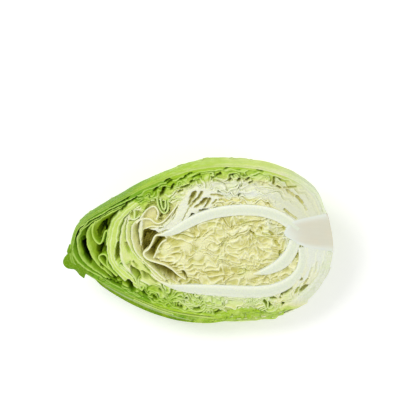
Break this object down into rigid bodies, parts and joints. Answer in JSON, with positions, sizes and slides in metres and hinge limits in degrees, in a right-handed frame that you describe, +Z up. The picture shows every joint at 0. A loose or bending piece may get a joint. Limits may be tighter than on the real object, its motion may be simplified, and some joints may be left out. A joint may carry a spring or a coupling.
{
  "type": "half pointed cabbage",
  "caption": "Half of a pointed cabbage cut lengthwise through the stem, with folded leaves nested round a pale heart, lying on its rounded back.",
  "frame": {"origin": "under the middle of the half's box, on the surface that it lies on", "axes": "+X along the head towards the cut stem end, +Z up, and the cut face leans 26 degrees from level towards -Y"},
  "size_m": [0.2078, 0.1256, 0.092],
  "materials": {
    "leaf_green": "waxy green leaf",
    "leaf_mid_green": "waxy yellow-green leaf",
    "leaf_pale": "pale green leaf, freshly cut",
    "leaf_cream": "cream-yellow leaf, freshly cut",
    "rib_white": "moist white rib",
    "stem_flesh": "moist cut stem"
  },
  "bodies": {
    "root": {"stem_core": "stem_flesh", "wrapper_leaf_outer": "leaf_green", "wrapper_leaf_inner": "leaf_green", "wrapper_leaf_base": "leaf_mid_green", "outer_leaves": "leaf_mid_green", "middle_leaves": "leaf_pale", "inner_leaves": "leaf_cream", "ribbed_leaf_upper": "rib_white", "ribbed_leaf_lower": "rib_white", "heart_leaves": "leaf_cream"}
  },
  "joints": []
}
